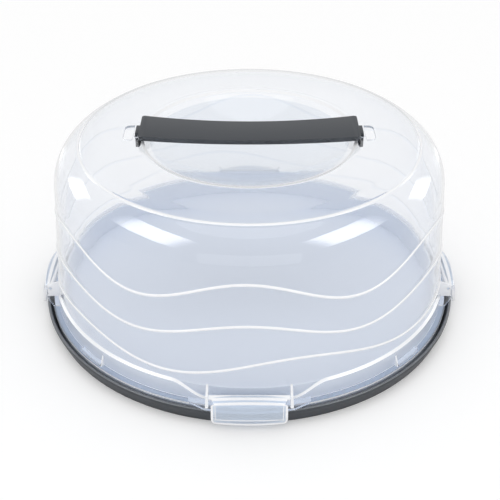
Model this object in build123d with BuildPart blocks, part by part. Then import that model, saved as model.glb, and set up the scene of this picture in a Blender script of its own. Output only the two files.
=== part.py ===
from build123d import *
import os
from math import atan2, cos, degrees, radians, sin, sqrt, tan

os.makedirs("parts", exist_ok=True)

# Round cake carrier: a shallow tray in a dark ring, a clear domed lid that lifts off,
# four hinged clips on the lid that hook under the ring's lip, and a snap-in carrying strap.
# Millimetres. The origin is the middle of the base, on the table; +Z is up, the first clip
# faces -Y and the strap lies along X.

# Base ring
ring_radius = 172.5          # over the lip
ring_height = 12.9
ring_lean = 3.9              # how much smaller the ring's foot is in radius
ring_wall = 2.3
ring_floor = 2.0
ring_floor_width = 15.0
lip_depth = 2.4              # upright part of the lip
lip_chamfer = 0.9
catch_width = 28.0           # window under the lip that each clip's nib goes into
catch_ledge = 8.6            # height of the ledge over that window

# Tray
tray_wall = 2.2
tray_gap = 0.35              # to the inside of the ring
rim_drop = 1.0               # the tray's rim lies this much below the ring's lip
dish_depth = 5.4
upstand_wall = 1.8
upstand_height = 13.6        # reaches nearly to the top of the lid's thick band
upstand_gap = 1.0            # to the inside of the lid
foot_ring_radii = (62.0, 118.0)
foot_wall = 2.0
rib_count = 12
rib_wall = 1.8
rib_start = 24.0
rib_clearance = 1.0          # ribs end this far above the table

# Lid
seat_gap = 0.3               # lid flange over the tray's rim
flange_gap = 2.2             # lid flange to the inside of the ring's lip
flange_thickness = 2.0
flange_width = 4.6
skirt_height = 12.8
skirt_step = 1.8
skirt_chamfer = 1.4
lid_wall = 1.8
wall_draft = 3.75            # degrees
dome_height = 139.0          # flange underside to the flat top
shoulder_radius = 34.2
bowl_radius = 85.8
bowl_depth = 26.0
bowl_round = 12.0
bead_radius = 134.5          # raised ring round the shoulder
bead_width = 3.2
bead_height = 0.8
bead_slope = 60.0            # degrees, its sides
wave_width = 2.0             # raised wavy lines round the wall
wave_height = 0.7
wave_turn = 60               # degrees; each line is made in stretches this long
wave_start = 15
wave_steps = 12              # points along a stretch
# Each line's middle height, then its swells: how many a turn, how high, and their shift in degrees.
wave_lines = (
    (101.4, ((2, 2.1, 4), (4, 1.3, 18), (6, 9.0, 3))),
    (68.7, ((2, 4.1, -2), (4, 1.1, 16), (6, 6.1, 1))),
    (39.4, ((2, 5.2, -2), (4, 4.8, -95), (6, 3.5, -51))),
)
brace_angle = 42.8           # stiffening ribs on the flange, degrees from the front and the back
brace_wall = 1.2
pad_turn = 9.0               # low pad beside each of them, degrees long
pad_width = 3.0
pad_height = 2.6

# Clips and the ears that carry them
clip_angles = {"front_clip": 0, "right_clip": 90, "back_clip": 180, "left_clip": 270}
clip_width = 55.4
clip_height = 19.5
clip_wall = 2.0
clip_gap = 1.7               # clip plate to the ring's lip
clip_bevel = 10.0            # height over which the front slopes back to a straight top edge
clip_corner = 4.0
hinge_height = 22.4
hinge_inset = 6.3            # hinge axis inside the ring's radius
barrel_radius = 1.9
barrel_overhang = 1.6        # barrel beyond the clip's plate at each side
pin_radius = 1.2
pin_clearance = 0.05
pin_shy = 0.15               # pin ends inside the ears' outer faces
nib_width = 24.0
nib_height = 2.2
nib_drop = 1.0               # nib's top under the catch ledge
nib_reach = 2.0              # how far the nib stands in under the ledge
ear_gap = 0.3
ear_wall = 1.6
ear_height = 21.4            # above the flange's underside
ear_top_width = 6.6
ear_boss = 2.4               # ear's edge beyond the hinge axis
bracket_gap = 0.5            # bracket's underside over the ring's lip
bracket_thickness = 1.8
bracket_overhang = 0.1       # bracket beyond the ring's radius
bracket_margin = 1.5         # bracket beyond the ears before its ends slope away
bracket_shoulder = 12.0      # width of its sloping ends
ear_foot = 2.0               # height of the ear's splayed foot
ear_neck = 3.0               # height over the hinge axis where the ear starts to narrow
skirt_scoop = 26.0           # width of the skirt's curved end beside each ear

# Strap
strap_length = 172.0
strap_width = 38.2
strap_waist = 1.9            # each long side draws in by this much at the middle
strap_dip = 4.4              # the middle hangs this much lower
strap_thickness = 3.8
strap_rise = 2.3             # underside of its ends over the lid
strap_corner = 3.0
strap_chamfer = 1.0
tongue_width = 14.4
tongue_thickness = 2.6
tongue_root = 8.0            # length of the tongue under the strap
tongue_lap = 0.6             # how far it laps up over the strap's underside
leg_thickness = 1.6
leg_offset = 3.6             # leg's outer face beyond the strap's end
leg_gap = 0.4
toe_reach = 2.4
toe_thickness = 1.6
strap_travel = 6.0           # lift before the toes catch under the lid
toe_slack = 1.0
slot_bar = 1.4               # bar between the leg's slot and the outer opening
slot_side_gap = 0.8
opening_length = 7.6
opening_width = 25.0
opening_corner = 4.5
slot_depth = 2.2             # passes the wall where the bowl's edge starts to fall

# Heights
tray_rim_top = ring_height - rim_drop
tray_floor_top = tray_rim_top - dish_depth
tray_floor_bottom = tray_floor_top - tray_wall
upstand_top = tray_rim_top + upstand_height
flange_bottom = tray_rim_top + seat_gap
flange_top = flange_bottom + flange_thickness
skirt_top = flange_top + skirt_height
lid_top = flange_bottom + dome_height
bracket_bottom = ring_height + bracket_gap
bracket_top = bracket_bottom + bracket_thickness
clip_top = hinge_height + barrel_radius
clip_bottom = clip_top - clip_height
strap_bottom = lid_top + strap_rise
strap_top = strap_bottom + strap_thickness
tongue_top = strap_bottom + tongue_lap
tongue_bottom = tongue_top - tongue_thickness
nib_top = catch_ledge - nib_drop
ear_top = flange_bottom + ear_height
toe_top = lid_top - lid_wall - strap_travel - toe_slack
toe_bottom = toe_top - toe_thickness

# Radii
draft_slope = tan(radians(wall_draft))
flange_radius = ring_radius - ring_wall - flange_gap
skirt_radius = flange_radius - flange_width
wall_radius = skirt_radius - skirt_step
bracket_radius = ring_radius + bracket_overhang
hinge_radius = ring_radius - hinge_inset
clip_inner_radius = ring_radius + clip_gap
clip_outer_radius = clip_inner_radius + clip_wall
clip_straight = sqrt(clip_outer_radius**2 - (clip_width / 2) ** 2)
leg_outer = strap_length / 2 + leg_offset
leg_inner = leg_outer - leg_thickness
opening_start = leg_outer + leg_gap + slot_bar

# Widths beside a clip's middle
barrel_half = clip_width / 2 + barrel_overhang
ear_middle = barrel_half + ear_gap + ear_wall / 2
ear_outer_face = ear_middle + ear_wall / 2


def ring_outer_at(height):
    """Radius of the ring's leaning outer face at a height below its lip."""
    return ring_radius - ring_lean * (1 - height / (ring_height - lip_depth))


def lid_outer_at(height):
    """Radius of the lid's drafted outer wall at a height."""
    return wall_radius - draft_slope * (height - skirt_top)


tray_radius = ring_outer_at(ring_floor) - ring_wall - tray_gap
upstand_radius = lid_outer_at(upstand_top) - lid_wall - upstand_gap


def outward(angle):
    """Unit vector that points away from the middle, angle degrees round from the front."""
    return Vector(sin(radians(angle)), -cos(radians(angle)), 0)


def side_plane(angle):
    """Upright plane through the middle: its x runs outward, its y up."""
    return Plane(origin=(0, 0, 0), x_dir=outward(angle), z_dir=outward(angle).cross(Vector(0, 0, 1)))


def level_plane(angle, height):
    """Level plane whose y runs outward at the angle."""
    return Plane(origin=(0, 0, height), x_dir=outward(angle).cross(Vector(0, 0, 1)), z_dir=(0, 0, 1))


def facing_plane(angle, distance):
    """Upright plane that faces outward, at a distance from the middle."""
    across = Vector(0, 0, 1).cross(outward(angle))
    return Plane(origin=outward(angle) * distance, x_dir=across, z_dir=outward(angle))


# ---------------------------------------------------------------- base ring
ring_foot = ring_outer_at(0)

with BuildPart() as base_ring:
    with BuildSketch(Plane.XZ) as ring_profile:
        with BuildLine():
            Polyline(
                (ring_foot - ring_floor_width, 0),
                (ring_foot, 0),
                (ring_radius, ring_height - lip_depth),
                (ring_radius, ring_height),
                (ring_radius - ring_wall, ring_height),
                (ring_radius - ring_wall, ring_height - lip_depth),
                (ring_outer_at(ring_floor) - ring_wall, ring_floor),
                (ring_foot - ring_floor_width, ring_floor),
                close=True,
            )
        make_face()
        chamfer(ring_profile.vertices().group_by(Axis.Y)[-1], lip_chamfer)
    revolve(axis=Axis.Z)
    # Windows under the lip, one for each clip's nib.
    for angle in clip_angles.values():
        with BuildSketch(facing_plane(angle, tray_radius)):
            with Locations((0, (ring_floor + catch_ledge) / 2)):
                Rectangle(catch_width, catch_ledge - ring_floor)
        extrude(amount=ring_radius - tray_radius, mode=Mode.SUBTRACT)

base_ring.part.label = "base_ring"
export_step(base_ring.part, "parts/base_ring.step")


# ---------------------------------------------------------------- tray
rib_end = ring_foot - ring_floor_width - tray_wall

with BuildPart() as base_tray:
    # Dished floor, locating upstand, flat rim, and the skirt that stands on the ring's floor.
    with BuildSketch(Plane.XZ):
        with BuildLine():
            Polyline(
                (0, tray_floor_bottom),
                (0, tray_floor_top),
                (upstand_radius - upstand_wall, tray_floor_top),
                (upstand_radius - upstand_wall, upstand_top),
                (upstand_radius, upstand_top),
                (upstand_radius, tray_rim_top),
                (tray_radius, tray_rim_top),
                (tray_radius, ring_floor),
                (tray_radius - tray_wall, ring_floor),
                (tray_radius - tray_wall, tray_rim_top - tray_wall),
                (upstand_radius, tray_rim_top - tray_wall),
                (upstand_radius, tray_floor_bottom),
                close=True,
            )
        make_face()
    revolve(axis=Axis.Z)
    with BuildSketch(Plane.XY):
        for radius in foot_ring_radii:
            Circle(radius + foot_wall / 2)
            Circle(radius - foot_wall / 2, mode=Mode.SUBTRACT)
    extrude(amount=tray_floor_bottom)
    with BuildSketch(Plane.XY.offset(rib_clearance)):
        with PolarLocations((rib_start + rib_end) / 2, rib_count):
            Rectangle(rib_end - rib_start, rib_wall)
    extrude(amount=tray_floor_bottom - rib_clearance)

base_tray.part.label = "base_tray"
export_step(base_tray.part, "parts/base_tray.step")


# ---------------------------------------------------------------- lid
def dome_half(inset):
    """Half section under the dome's outer surface, moved into the wall by inset."""
    top = lid_top - inset
    foot = lid_outer_at(flange_bottom) - inset / cos(radians(wall_draft))
    corner = foot - draft_slope * (top - flange_bottom)
    sphere = (bowl_radius**2 + bowl_depth**2) / (2 * bowl_depth)
    centre = lid_top - bowl_depth + sphere
    rim = sqrt((sphere + inset) ** 2 - (centre - top) ** 2)
    half_turn = atan2(rim, centre - top) / 2
    arc_middle = ((sphere + inset) * sin(half_turn), centre - (sphere + inset) * cos(half_turn))
    bowl_floor = (0, centre - sphere - inset)
    with BuildSketch(Plane.XZ) as half:
        with BuildLine():
            Polyline(bowl_floor, (0, flange_bottom), (foot, flange_bottom), (corner, top), (rim, top))
            ThreePointArc((rim, top), arc_middle, bowl_floor)
        make_face()
        fillet(half.vertices().sort_by_distance((corner, top, 0))[0], shoulder_radius - inset)
        fillet(half.vertices().sort_by_distance((rim, top, 0))[0], bowl_round - inset)
    return half.sketch


def wall_middle_at(height):
    """Radius at the middle of the lid wall's thickness."""
    return lid_outer_at(height) - lid_wall / 2


def ear_root_at(height):
    """Where an ear starts inside the wall, measured outward from the middle."""
    return sqrt(wall_middle_at(height) ** 2 - ear_middle**2)


scoop_low = bracket_top
scoop_high = skirt_top + skirt_step
scoop_end = ear_outer_face + skirt_scoop
scoop_curve = (
    (ear_outer_face, scoop_low),
    (ear_outer_face + skirt_scoop / 3, (scoop_low + skirt_top) / 2),
    (ear_outer_face + skirt_scoop / 2, skirt_top),
    (scoop_end, skirt_top),
)

with BuildPart() as skirt_band:
    # The thicker band round the lid's foot, scooped away between and beside each pair of ears.
    with BuildSketch(Plane.XZ):
        with BuildLine():
            Polyline(
                (wall_middle_at(flange_bottom), flange_bottom),
                (skirt_radius, flange_bottom),
                (skirt_radius, skirt_top - skirt_chamfer),
                (lid_outer_at(skirt_top), skirt_top),
                (wall_middle_at(skirt_top), skirt_top),
                close=True,
            )
        make_face()
    revolve(axis=Axis.Z)
    for angle in clip_angles.values():
        with BuildSketch(facing_plane(angle, 0)) as scoop:
            with BuildLine():
                Polyline((scoop_end, skirt_top), (scoop_end, scoop_high), (0, scoop_high))
                Polyline((0, scoop_high), (0, scoop_low), (ear_outer_face, scoop_low))
                Bezier(*scoop_curve)
            make_face()
            mirror(about=Plane.YZ)
        extrude(amount=ring_radius, mode=Mode.SUBTRACT)


shoulder_height = lid_top - shoulder_radius
shoulder_centre = lid_outer_at(shoulder_height) - shoulder_radius / cos(radians(wall_draft))
bead_rise = sqrt(shoulder_radius**2 - (bead_radius - shoulder_centre) ** 2)
bead_tilt = degrees(atan2(bead_radius - shoulder_centre, bead_rise))
wave_low = skirt_top + wave_width
wave_skin = (
    (wall_middle_at(wave_low), wave_low),
    (lid_outer_at(wave_low) + wave_height, wave_low),
    (lid_outer_at(shoulder_height) + wave_height, shoulder_height),
    (wall_middle_at(shoulder_height), shoulder_height),
)


def wave_point(line, angle, radius):
    """Point on a wavy line's lower edge."""
    middle, swells = line
    rise = sum(height * cos(radians(count * angle + shift)) for count, height, shift in swells)
    return outward(angle) * radius + Vector(0, 0, middle - wave_width / 2 + rise)


def wave_stretch(line, start, radius):
    """Smooth path along one stretch of a wavy line, at a radius."""
    angles = [start + wave_turn * step / wave_steps for step in range(wave_steps + 1)]
    points = [wave_point(line, angle, radius) for angle in angles]
    before = [wave_point(line, angle - 1, radius) for angle in (angles[0], angles[-1])]
    after = [wave_point(line, angle + 1, radius) for angle in (angles[0], angles[-1])]
    return Edge.make_spline(points, tangents=[after[0] - before[0], after[1] - before[1]])


with BuildPart() as wave_beads:
    # Wavy ribbons that cross the wall, trimmed to a thin skin on its outer side.
    for line in wave_lines:
        for start in range(wave_start, wave_start + 360, wave_turn):
            inner_edge = wave_stretch(line, start, shoulder_centre)
            outer_edge = wave_stretch(line, start, skirt_radius)
            ribbon = Face.make_surface_from_curves(outer_edge, inner_edge)
            extrude(ribbon, amount=wave_width, dir=(0, 0, 1), clean=False)
    with BuildSketch(Plane.XZ):
        with BuildLine():
            Polyline(*wave_skin, close=True)
        make_face()
    revolve(axis=Axis.Z, mode=Mode.INTERSECT, clean=False)

with BuildPart() as lid:
    revolve(dome_half(0), axis=Axis.Z)
    revolve(dome_half(lid_wall), axis=Axis.Z, mode=Mode.SUBTRACT)
    add(wave_beads.part)
    # Raised ring on the shoulder.
    with BuildSketch(Plane.XZ):
        with Locations(Location((bead_radius, shoulder_height + bead_rise, 0), (0, 0, -bead_tilt))):
            Trapezoid(bead_width, 2 * bead_height, bead_slope)
    revolve(axis=Axis.Z)
    # Flange that rests on the tray's rim.
    with BuildSketch(Plane.XY.offset(flange_bottom)):
        Circle(flange_radius)
        Circle(wall_middle_at(flange_bottom), mode=Mode.SUBTRACT)
    extrude(amount=flange_thickness)
    add(skirt_band.part)
    # Stiffening ribs against the thick band, each with a low pad beside it.
    for side in (-1, 1):
        for angle, turn in ((brace_angle, pad_turn), (180 - brace_angle, -pad_turn)):
            with BuildSketch(side_plane(side * angle)):
                with BuildLine():
                    Polyline(
                        (wall_middle_at(flange_top), flange_bottom),
                        (skirt_radius + pad_width, flange_bottom),
                        (skirt_radius + pad_width, flange_top),
                        (lid_outer_at(skirt_top), skirt_top),
                        (wall_middle_at(skirt_top), skirt_top),
                        close=True,
                    )
                make_face()
            extrude(amount=brace_wall / 2, both=True)
            with BuildSketch(side_plane(side * angle)):
                with Locations((wall_middle_at(flange_top), flange_bottom)):
                    Rectangle(
                        skirt_radius + pad_width - wall_middle_at(flange_top),
                        flange_thickness + pad_height,
                        align=(Align.MIN, Align.MIN),
                    )
            revolve(axis=Axis.Z, revolution_arc=side * turn)
    for angle in clip_angles.values():
        # Bracket that carries two ears out over the ring's lip.
        half = ear_outer_face + bracket_margin
        shoulder = half + bracket_shoulder
        with BuildSketch(level_plane(angle, bracket_bottom)):
            Circle(bracket_radius)
            Circle(wall_middle_at(bracket_bottom), mode=Mode.SUBTRACT)
            with BuildLine():
                Polyline(
                    (-shoulder, 0),
                    (-shoulder, sqrt(flange_radius**2 - shoulder**2)),
                    (-half, bracket_radius),
                    (half, bracket_radius),
                    (shoulder, sqrt(flange_radius**2 - shoulder**2)),
                    (shoulder, 0),
                    close=True,
                )
            make_face(mode=Mode.INTERSECT)
        extrude(amount=bracket_thickness)
        for side in (-1, 1):
            with BuildSketch(side_plane(angle).offset(side * ear_middle)):
                with BuildLine():
                    Polyline(
                        (ear_root_at(bracket_bottom), bracket_bottom),
                        (sqrt(bracket_radius**2 - ear_outer_face**2), bracket_bottom),
                        (sqrt(bracket_radius**2 - ear_outer_face**2), bracket_top),
                        (hinge_radius + ear_boss, bracket_top + ear_foot),
                        (hinge_radius + ear_boss, hinge_height + ear_neck),
                        (ear_root_at(ear_top) + ear_top_width, ear_top),
                        (ear_root_at(ear_top), ear_top),
                        close=True,
                    )
                make_face()
            extrude(amount=ear_wall / 2, both=True)
        with BuildSketch(side_plane(angle)):
            with Locations((hinge_radius, hinge_height)):
                Circle(pin_radius + pin_clearance)
        extrude(amount=ear_outer_face, both=True, mode=Mode.SUBTRACT)
    # Slots for the strap's legs, and the opening outside each slot's bar.
    for side in (-1, 1):
        with BuildSketch(Plane.XY.offset(lid_top - slot_depth)) as opening:
            with Locations((side * (opening_start + opening_length / 2), 0)):
                Rectangle(opening_length, opening_width)
            fillet(opening.vertices().sort_by(lambda corner: abs(corner.X))[-2:], opening_corner)
            with Locations((side * (leg_inner + leg_outer) / 2, 0)):
                Rectangle(leg_thickness + 2 * leg_gap, tongue_width + 2 * slot_side_gap)
        extrude(amount=slot_depth, mode=Mode.SUBTRACT)

lid.part.label = "lid"
export_step(lid.part, "parts/lid.step")


# ---------------------------------------------------------------- strap
half_length = strap_length / 2
half_width = strap_width / 2
sag_radius = (half_length**2 + strap_dip**2) / (2 * strap_dip)
strip_end = half_length + strap_corner
strip_top = strap_top - strap_dip + sag_radius - sqrt(sag_radius**2 - strip_end**2)

with BuildPart() as handle:
    # Sagging strip, longer than the strap; its outline seen from above trims it.
    with BuildSketch(Plane.XZ):
        with BuildLine():
            ThreePointArc((-strip_end, strip_top), (0, strap_top - strap_dip), (strip_end, strip_top))
            Line((strip_end, strip_top), (strip_end, strip_top - strap_thickness))
            ThreePointArc(
                (strip_end, strip_top - strap_thickness),
                (0, strap_bottom - strap_dip),
                (-strip_end, strip_top - strap_thickness),
            )
            Line((-strip_end, strip_top - strap_thickness), (-strip_end, strip_top))
        make_face()
    extrude(amount=strap_width, both=True)
    # Waisted outline seen from above.
    with BuildSketch(Plane.XY.offset(strap_bottom - 2 * strap_dip)) as plan:
        with BuildLine():
            ThreePointArc((-half_length, half_width), (0, half_width - strap_waist), (half_length, half_width))
            Line((half_length, half_width), (half_length, -half_width))
            ThreePointArc((half_length, -half_width), (0, strap_waist - half_width), (-half_length, -half_width))
            Line((-half_length, -half_width), (-half_length, half_width))
        make_face()
        fillet(plan.vertices(), strap_corner)
    extrude(amount=3 * strap_dip + strap_thickness, mode=Mode.INTERSECT)
    top_face = handle.faces().sort_by(SortBy.AREA)[-2:].sort_by(Axis.Z)[-1]
    chamfer(top_face.edges(), strap_chamfer)
    # Hooked leg at each end: tongue, leg and inward toe in one outline.
    for side in (-1, 1):
        with BuildSketch(Plane.XZ):
            with BuildLine():
                Polyline(
                    (side * (half_length - tongue_root), tongue_top),
                    (side * leg_outer, tongue_top),
                    (side * leg_outer, toe_bottom),
                    (side * (leg_inner - toe_reach / 2), toe_bottom),
                    (side * (leg_inner - toe_reach), toe_top),
                    (side * leg_inner, toe_top),
                    (side * leg_inner, tongue_bottom),
                    (side * (half_length - tongue_root), tongue_bottom),
                    close=True,
                )
            make_face()
        extrude(amount=tongue_width / 2, both=True)

handle.part.label = "handle"
export_step(handle.part, "parts/handle.step")


# ---------------------------------------------------------------- clips
def clip_block(angle, inset, root, bottom):
    """Clip's outer form moved in by inset: round at the foot, straight along its top edge."""
    top = clip_top - inset
    with BuildPart() as block:
        with BuildSketch(side_plane(angle)):
            with BuildLine():
                Polyline(
                    (root, bottom),
                    (root, top),
                    (clip_straight - inset, top),
                    (clip_outer_radius - inset, top - clip_bevel),
                    (clip_outer_radius - inset, bottom),
                    close=True,
                )
            make_face()
        extrude(amount=clip_width / 2, both=True)
        with BuildSketch(Plane.XY.offset(bottom)):
            Circle(clip_outer_radius - inset)
        extrude(amount=top - bottom, mode=Mode.INTERSECT)
    return block.part


def make_clip(name, angle):
    """One clip: plate, hinge barrel, pins and the nib that goes under the ring's lip."""
    with BuildPart() as clip:
        add(clip_block(angle, 0, hinge_radius, clip_bottom))
        add(clip_block(angle, clip_wall, hinge_radius - clip_wall, clip_bottom - clip_wall), mode=Mode.SUBTRACT)
        with BuildSketch(facing_plane(angle, hinge_radius)):
            with Locations((0, (clip_top + clip_bottom) / 2)):
                RectangleRounded(clip_width, clip_height, clip_corner)
        extrude(amount=clip_outer_radius - hinge_radius, mode=Mode.INTERSECT)
        with BuildSketch(side_plane(angle)):
            with Locations((hinge_radius, hinge_height)):
                Circle(barrel_radius)
        extrude(amount=barrel_half, both=True)
        with BuildSketch(side_plane(angle)):
            with Locations((hinge_radius, hinge_height)):
                Circle(pin_radius)
        extrude(amount=ear_outer_face - pin_shy, both=True)
        nib_tip = ring_outer_at(catch_ledge) - nib_reach
        with BuildSketch(side_plane(angle)):
            with BuildLine():
                Polyline(
                    (nib_tip, nib_top),
                    (clip_inner_radius + clip_wall / 2, nib_top),
                    (clip_inner_radius + clip_wall / 2, nib_top - nib_height),
                    (nib_tip + nib_height / 2, nib_top - nib_height),
                    close=True,
                )
            make_face()
        extrude(amount=nib_width / 2, both=True)
    clip.part.label = name
    export_step(clip.part, f"parts/{name}.step")


for name, angle in clip_angles.items():
    make_clip(name, angle)
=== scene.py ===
from functools import reduce
from math import acos, atan2, cos, degrees, pi, radians, sin, sqrt, tan

import bmesh
import bpy
from bpy.props import FloatProperty, FloatVectorProperty, IntProperty, PointerProperty
from mathutils import Matrix, Vector


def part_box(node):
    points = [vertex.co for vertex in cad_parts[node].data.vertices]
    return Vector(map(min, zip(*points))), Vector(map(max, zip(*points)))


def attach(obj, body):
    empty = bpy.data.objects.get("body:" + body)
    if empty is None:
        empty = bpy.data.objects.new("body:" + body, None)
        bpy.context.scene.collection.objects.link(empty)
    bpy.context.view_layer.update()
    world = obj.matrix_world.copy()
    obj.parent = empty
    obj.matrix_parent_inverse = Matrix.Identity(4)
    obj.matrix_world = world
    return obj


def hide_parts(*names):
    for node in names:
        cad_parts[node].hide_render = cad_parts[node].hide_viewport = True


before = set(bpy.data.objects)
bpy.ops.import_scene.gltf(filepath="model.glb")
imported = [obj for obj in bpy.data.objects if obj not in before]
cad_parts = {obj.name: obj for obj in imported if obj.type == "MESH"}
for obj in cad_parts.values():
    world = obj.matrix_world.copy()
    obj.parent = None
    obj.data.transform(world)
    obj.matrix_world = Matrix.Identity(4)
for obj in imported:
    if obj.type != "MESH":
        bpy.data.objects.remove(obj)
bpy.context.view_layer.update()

bl_info = {
    "name": "Cake Carrier",
    "version": (1, 0, 0),
    "blender": (4, 5, 0),
    "location": "3D View > Sidebar > Cake Carrier",
    "description": "Builds a round cake carrier with a clear domed lid over its packed frame",
    "category": "Add Mesh",
}

MM = 0.001
LID_LOW, LID_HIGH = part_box("lid")
RING_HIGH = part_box("base_ring")[1]
STRAP_LOW, STRAP_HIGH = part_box("handle")
CLIP_LOW, CLIP_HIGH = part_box("front_clip")
CLIP_TURNS = {"front_clip": 0, "right_clip": 90, "back_clip": 180, "left_clip": 270}
# Points closer than this are one.
SAME = 1e-6
# Edges that turn by more degrees than this are rounded by soften, and those that turn by more than
# CREASE are shaded as edges: on the lid, and on the other pieces.
SOFT_ANGLE = 40
LID_CREASE, CREASE = 40, 35


def length(name, value, description):
    """A size, given in metres."""
    return FloatProperty(name=name, description=description, default=value, unit="LENGTH")


def size(name, value, description):
    """A size, given in millimetres."""
    return length(name, value * MM, description)


def turn(name, value, description):
    """An angle, given in degrees."""
    return FloatProperty(
        name=name, description=description, default=radians(value), subtype="ANGLE"
    )


def number(name, value, description):
    """A number without a unit."""
    return FloatProperty(name=name, description=description, default=value)


def three(name, values, description, **kind):
    """Three numbers that belong together."""
    return FloatVectorProperty(
        name=name, description=description, default=tuple(values), size=3, **kind
    )


def lengths(name, values, description):
    """Three sizes, given in millimetres."""
    return three(name, [value * MM for value in values], description, unit="LENGTH")


def angles(name, values, description):
    """Three angles, given in degrees."""
    return three(name, [radians(value) for value in values], description, subtype="EULER")


def point(name, values, description):
    """A point, given in metres."""
    return three(name, values, description, subtype="TRANSLATION")


def colour(name, values, description):
    """A colour in Blender's linear values."""
    return three(name, values, description, subtype="COLOR", min=0, max=1)


# ------------------------------------------------------------------ what a user may change
class LidShape(bpy.types.PropertyGroup):
    """Sizes of the clear lid."""

    top: length("Top", LID_HIGH[2], "Height of the flat top")
    foot: length("Foot", LID_LOW[2], "Height of the flange's underside")
    wall: size("Wall", 1.8, "Thickness of the dome")
    wall_radius: size("Wall radius", 161.48, "Outer radius of the wall at the skirt's top")
    draft: turn("Draft", 3.75, "Lean of the wall")
    shoulder: size("Shoulder", 34.2, "Outer radius of the rounding between wall and top")
    bowl_radius: size("Bowl radius", 85.8, "Radius of the finger bowl at the top")
    bowl_depth: size("Bowl depth", 26.0, "Depth of the finger bowl")
    bowl_round: size("Bowl rounding", 12.0, "Rounding of the finger bowl's rim")
    flange_radius: size("Flange radius", 168.0, "Radius of the flange that rests on the tray")
    flange_height: size("Flange height", 2.0, "Thickness of the flange")
    skirt_radius: size("Skirt radius", 163.4, "Outer radius of the skirt band")
    skirt_top: size("Skirt top", 28.8, "Height of the skirt band's top")
    scoop_top: size("Scoop", 17.4, "Height of the skirt band behind a clip")
    scoop_start: turn("Scoop start", 11.0, "Angle from a clip up to which it is full depth")
    scoop_end: turn("Scoop end", 20.5, "Angle from a clip where it ends")
    skirt_chamfer: size("Skirt chamfer", 1.6, "Slope at the skirt band's top")
    bead_width: size("Bead width", 2.3, "Width of each raised wave line")
    bead_height: size("Bead height", 0.7, "How far each wave line stands out")
    ring_radius: size("Ring radius", 134.5, "Radius of the raised ring on the shoulder")
    ring_width: size("Ring width", 3.2, "Width of that ring")
    ring_height: size("Ring height", 0.4, "How far that ring stands out")
    brace_turn: turn("Brace turn", 42.8, "Place of the stiffening ribs, from front and back")
    brace_wall: size("Brace wall", 1.2, "Thickness of each rib")
    pad_turn: turn("Pad turn", 9.0, "Length of the low pad beside each rib")
    pad_width: size("Pad width", 3.0, "How far ribs and pads stand out from the skirt band")
    pad_height: size("Pad height", 2.6, "Height of a pad over the flange")
    # This height sets the painted highlight band in the corner between skirt and flange, and where
    # the painted highlight on the flange's edge stops.
    corner_highlight: size("Corner line", 0.5, "Height of the whitened corner between skirt and flange")
    columns: IntProperty(name="Columns", description="Divisions round the lid", default=384, min=24)


class WaveShape(bpy.types.PropertyGroup):
    """The three wave lines round the wall. Each swells two, four and six times a turn."""

    heights: lengths("Heights", (101.4, 68.7, 39.4), "Mean height of each wave line")
    upper: lengths("Upper swells", (2.1, 1.3, 9.0), "Heights of the upper line's swells")
    upper_turns: angles("Upper turns", (4, 18, 3), "Where those swells start")
    middle: lengths("Middle swells", (4.1, 1.1, 6.1), "Heights of the middle line's swells")
    middle_turns: angles("Middle turns", (-2, 16, 1), "Where those swells start")
    lower: lengths("Lower swells", (5.2, 4.8, 3.5), "Heights of the lower line's swells")
    lower_turns: angles("Lower turns", (-2, -95, -51), "Where those swells start")


class ClipShape(bpy.types.PropertyGroup):
    """Sizes of the four clips and the brackets that carry them."""

    width: size("Width", 55.4, "Width of a clip's plate")
    wall: size("Wall", 2.0, "Thickness of a clip's plate")
    bevel: size("Slope", 10.0, "Height over which the front slopes back")
    corner: size("Corner", 4.0, "Rounding of the plate's corners")
    hinge_radius: size("Hinge radius", 166.2, "Distance of the hinge from the middle")
    hinge_height: size("Hinge height", 22.4, "Height of the hinge")
    barrel: size("Barrel", 1.9, "Radius of the hinge barrel")
    pin: size("Pin", 1.2, "Radius of the hinge pins")
    ear_middle: size("Ear", 30.4, "Distance of an ear from the clip's middle")
    ear_wall: size("Ear wall", 1.6, "Thickness of an ear")
    ear_foot_wall: size("Ear foot", 2.6, "Thickness of an ear at its foot")
    ear_top: size("Ear top", 28.5, "Height of an ear's top")
    ear_reach: size("Ear reach", 2.5, "How far an ear's top stands out from the wall's inside")
    crown: size("Crown", 3.1, "How much higher the plate's top edge is at its middle")
    top_corner: size("Top corner", 2.5, "Rounding of the plate's upper corners")
    nib_width: size("Nib width", 24.0, "Width of the nib that hooks under the ring")


class StrapShape(bpy.types.PropertyGroup):
    """Sizes of the carrying strap."""

    half_length: size("Half length", 86.0, "Half the strap's length")
    half_width: length("Half width", STRAP_HIGH[1], "Half the strap's width at its ends")
    waist: size("Waist", 1.9, "How far each long side draws in at the middle")
    dip: size("Dip", 4.4, "How much lower the middle hangs")
    thickness: size("Thickness", 3.8, "Thickness of the strap")
    rounding: size("Rounding", 1.0, "Rounding of the strap's edges")
    tongue_width: size("Tongue width", 14.4, "Width of the tongues and legs")
    opening_start: size("Opening start", 91.4, "Inner edge of the lid's outer openings")
    opening_length: size("Opening length", 7.6, "Length of those openings along the strap")
    opening_width: size("Opening width", 25.0, "Width of those openings")
    opening_corner: size("Opening corner", 4.5, "Rounding of their outer corners")


class RingShape(bpy.types.PropertyGroup):
    """Sizes of the dark base ring."""

    radius: length("Radius", RING_HIGH[0], "Radius over the lip")
    height: length("Height", RING_HIGH[2], "Height of the ring")
    lean: size("Lean", 3.9, "How much smaller the foot is in radius")
    wall: size("Wall", 2.3, "Thickness of the ring")
    floor: size("Floor", 2.0, "Thickness of the inner floor")
    floor_width: size("Floor width", 15.0, "Width of the inner floor")
    lip: size("Lip", 2.4, "Upright part of the lip")
    rounding: size("Rounding", 0.9, "Rounding of the lip")
    catch_width: size("Catch width", 28.0, "Width of the window for a clip's nib")
    catch_top: size("Catch top", 8.6, "Height of the ledge over that window")


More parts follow.
